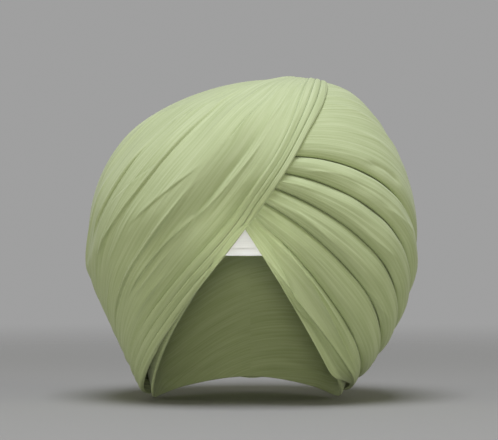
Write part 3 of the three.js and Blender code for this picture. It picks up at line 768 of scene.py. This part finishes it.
def band_piece():
    first, last = BAND_MESH["reach"]
    coarse = np.linspace(first, last, BAND_MESH["lines"])
    angle_at = lambda t: band_border(t) + (band_edge(t) - band_border(t)) * coarse
    t, lengths = run_lines(angle_at, len(coarse), BAND_MESH["stations"])
    columns = int(BAND_MESH["columns"] * FINE)
    section = curve_through(BAND_SECTION, columns, lambda fine: fine * BAND_SIZE) / BAND_SIZE
    along = edge_dense(int(BAND_MESH["rows"] * FINE))
    patch = Patch(SHEET_FAN, t, angle_at(t), lengths, along, (section[:, 0] - first) / (last - first))
    skin = smoothstep((section[:, 1] - BAND_SKIN["start"]) / BAND_SKIN["rise"])
    crinkles = small_folds(count=40, t_range=(0.05, 1.0), angle_range=(-3, 7), height=(0.05, 0.2),
                           width=(0.5, 1.2), length=(0.3, 0.8), slant=0.1)
    wide = (band_edge(patch.t) - band_border(patch.t)) * DEGREE * patch.away
    depth = np.minimum(BAND_DEPTH["most"], BAND_DEPTH["least"] + wide / BAND_DEPTH["per_width"])
    height = BAND["gap"] + section[:, 1] * depth
    height = height + skin * (fold_height(patch, crinkles) + swell(patch, size=0.15, wavelength=60, seed=3))
    ends = np.minimum(patch.along_mm, patch.along_mm[-1:, :] - patch.along_mm)
    low = edge_height(patch)
    height = low + (height - low) * hem(ends, SHEET_HEM["end"])
    piece = grid_mesh("cloth_edge_pleats", patch.lifted(height), patch.across_mm, patch.along_mm)
    dress(piece, "edge_pleats", green)
    return piece


def hollow_points(azimuth, z, margin):
    radius = head_radius(azimuth, z, margin)
    x = radius * np.sin(azimuth * DEGREE)
    return np.stack([x, WRAP["axis_y"] - radius * np.cos(azimuth * DEGREE), z + 0 * radius], -1)


# rows of the wall from the rim to the crown, which they all but close, and the windings of its lining
INNER_MESH = dict(around=280, outer_rows=64, outer_power=1.5, lining_rows=110, lining_power=1.3,
                  closed=0.9999)
WINDING = dict(pitch=16, depth=0.9, power=0.7, from_rim=12, from_crown=5)
WINDING_SLOPE = [(9, 1, 35), (4, 3, 80)]  # height, waves round the head, phase
UNDER_SECTION = [
    (0.6, 0.0), (0.1, 0.1), (-0.1, 0.8), (0.2, 1.6), (1.5, 2.0), (4.6, 2.0), (5.6, 1.8), (6.1, 1.35),
    (6.6, 1.5), (9.0, 1.6), (20.0, 1.6), (38.0, 1.6), (39.8, 1.2), (40.0, 0.5), (39.6, 0.0), (20.0, 0.0),
    (0.9, 0.0),
]
UNDER_MESH = dict(around=220, columns=150)
UV_RADIUS = dict(inner=100, under=88)


def azimuths_round(count):
    return -180 + 360 * np.arange(count)[None, :] / count


def ring_lengths(ring, azimuth, radius):
    """Lengths across a ring's section and round it, for its UV."""
    steps = np.linalg.norm(np.diff(ring, axis=0), axis=-1)
    u = np.concatenate([np.zeros((1, ring.shape[1])), np.cumsum(steps, 0)], 0)
    return u, np.repeat((azimuth + 180) * DEGREE * radius, len(ring), 0)


def inner_piece():
    """The wall of inner turns: the lining of the hollow shows its windings."""
    azimuth = azimuths_round(int(INNER_MESH["around"] * FINE))
    rim = np.interp(azimuth, AZIMUTHS, RIM_Z)

    def rising(side):
        rows = np.linspace(0, INNER_MESH["closed"], int(INNER_MESH[side + "_rows"] * FINE))[:, None]
        return np.sin(rows ** INNER_MESH[side + "_power"] * np.pi / 2)

    z = rim + (WRAP["top_z"] - rim) * rising("outer")
    radius = wrap_radius(azimuth + 0 * z, z)
    x = axis_x(z) + radius * np.sin(azimuth * DEGREE)
    outer = np.stack([x, WRAP["axis_y"] - radius * np.cos(azimuth * DEGREE), z], -1)
    outer = outer - outward_normal(outer) * np.maximum(turn_room(outer), SHEET_SEAT)[..., None]
    hollow_top = HEAD["crown_z"] + LINING_GAP["band"]
    z = rim + (hollow_top - rim) * rising("lining")
    slope = sum(size * np.sin((waves * azimuth + phase) * DEGREE) for size, waves, phase in WINDING_SLOPE)
    winding = 1 - np.abs(np.sin(np.pi * ((z + slope) / WINDING["pitch"]))) ** WINDING["power"]
    winding = winding * smoothstep((z - rim) / WINDING["from_rim"])
    winding = winding * smoothstep((hollow_top - z) / WINDING["from_crown"])
    lining = hollow_points(azimuth + 0 * z, z, lining_gap(z) + WINDING["depth"] * winding)
    ring = np.concatenate([outer[::-1], lining], 0)
    piece = grid_mesh("cloth_inner_turns", ring, *ring_lengths(ring, azimuth, UV_RADIUS["inner"]), True)
    dress(piece, "inner_turns", green)
    return piece


def under_piece():
    """The white band, with a stitched hem along its lower edge."""
    section = curve_through(UNDER_SECTION, int(UNDER_MESH["columns"] * FINE))
    azimuth = azimuths_round(int(UNDER_MESH["around"] * FINE))
    z = UNDER_BAND["lower_z"] + section[:, :1] + 0 * azimuth
    ring = hollow_points(azimuth + 0 * z, z, UNDER_BAND["gap"] + section[:, 1:] + 0 * azimuth)
    piece = grid_mesh("cloth_under_band", ring, *ring_lengths(ring, azimuth, UV_RADIUS["under"]), True, True)
    dress(piece, "under_band", white)
    return piece


edges = [low for _, low in TURNS] + [LAST_TURN_END, LAST_TURN_END]
for k, (name, low) in enumerate(TURNS):
    turn_piece(name, low, edges[k + 1], edges[k + 2] - edges[k + 1])
sheet = sheet_piece()
band = band_piece()
inner = inner_piece()
under = under_piece()

# stage: a pale floor that fades into the plain backdrop, soft light and the photograph's camera
FLOOR = dict(z=-0.1215, radius=1.8, corners=96, fade=(0.35, 1.6),
             colour=(0.30, 0.30, 0.265, 1), roughness=0.9)
SKY = (0.21, 0.21, 0.19, 1)
BACKDROP = (0.35, 0.35, 0.35, 1)
turning = np.linspace(0, 2 * math.pi, FLOOR["corners"] + 1)[:-1]
ring = [(FLOOR["radius"] * math.cos(a), FLOOR["radius"] * math.sin(a), FLOOR["z"]) for a in turning]
mesh = bpy.data.meshes.new("floor")
mesh.from_pydata(ring, [], [list(range(FLOOR["corners"]))])
floor = bpy.data.objects.new("floor", mesh)
bpy.context.scene.collection.objects.link(floor)
pale = bpy.data.materials.new("pale_floor")
pale.use_nodes = True
nodes, links = pale.node_tree.nodes, pale.node_tree.links
nodes["Principled BSDF"].inputs["Base Color"].default_value = FLOOR["colour"]
nodes["Principled BSDF"].inputs["Roughness"].default_value = FLOOR["roughness"]
clear = nodes.new("ShaderNodeBsdfTransparent")
where = nodes.new("ShaderNodeNewGeometry")
length = nodes.new("ShaderNodeVectorMath")
length.operation = "LENGTH"
links.new(where.outputs["Position"], length.inputs[0])
fade = nodes.new("ShaderNodeMapRange")
fade.interpolation_type = "SMOOTHSTEP"
fade.inputs["From Min"].default_value, fade.inputs["From Max"].default_value = FLOOR["fade"]
links.new(length.outputs["Value"], fade.inputs["Value"])
mix = nodes.new("ShaderNodeMixShader")
links.new(fade.outputs["Result"], mix.inputs["Fac"])
links.new(nodes["Principled BSDF"].outputs["BSDF"], mix.inputs[1])
links.new(clear.outputs["BSDF"], mix.inputs[2])
links.new(mix.outputs["Shader"], nodes["Material Output"].inputs["Surface"])
mesh.materials.append(pale)

world = bpy.data.worlds.new("studio")
world.use_nodes = True
nodes, links = world.node_tree.nodes, world.node_tree.links
sky = nodes["Background"]
sky.inputs["Color"].default_value = SKY
backdrop = nodes.new("ShaderNodeBackground")
backdrop.inputs["Color"].default_value = BACKDROP
seen = nodes.new("ShaderNodeLightPath")
mix = nodes.new("ShaderNodeMixShader")
links.new(seen.outputs["Is Camera Ray"], mix.inputs["Fac"])
links.new(sky.outputs["Background"], mix.inputs[1])
links.new(backdrop.outputs["Background"], mix.inputs[2])
links.new(mix.outputs["Shader"], nodes["World Output"].inputs["Surface"])
bpy.context.scene.world = world

COOL = (1.0, 1.0, 1.22)
WARM = (1.0, 0.98, 0.84)
NEUTRAL = (1.0, 1.0, 0.95)
LIGHTS_AIM = (0, 0, 0.03)
CAMERA = dict(place=(-0.00125, -2.0, 0.0282), sensor=36, lens=174.2)


def area_light(name, place, size, energy, colour, spread=math.pi):
    data = bpy.data.lights.new(name, "AREA")
    data.energy = energy
    data.color = colour
    data.spread = spread
    data.size = size
    light = bpy.data.objects.new(name, data)
    light.location = place
    light.visible_camera = False
    direction = -np.array(place) + np.array(LIGHTS_AIM)
    light.rotation_mode = "QUATERNION"
    light.rotation_quaternion = Vector(direction).to_track_quat("-Z", "Y")
    bpy.context.scene.collection.objects.link(light)


area_light("key", (-0.05, -0.75, 2.25), size=1.2, energy=50, colour=COOL)
area_light("front", (0.0, -2.5, 0.12), size=0.4, energy=15, colour=WARM)
area_light("left", (-2.2, -0.6, 0.4), size=1.0, energy=10, colour=WARM)
area_light("right", (2.2, -0.8, 0.6), size=1.0, energy=11, colour=WARM)
area_light("bounce", (0.0, -0.3, -0.03), size=0.05, energy=0.005, colour=NEUTRAL, spread=0.5)

camera_data = bpy.data.cameras.new("camera")
camera_data.sensor_width = CAMERA["sensor"]
camera_data.lens = CAMERA["lens"]
camera = bpy.data.objects.new("camera", camera_data)
camera.location = CAMERA["place"]
camera.rotation_euler = (math.pi / 2, 0, 0)
bpy.context.scene.collection.objects.link(camera)
bpy.context.scene.camera = camera
bpy.context.scene.view_settings.view_transform = "Standard"
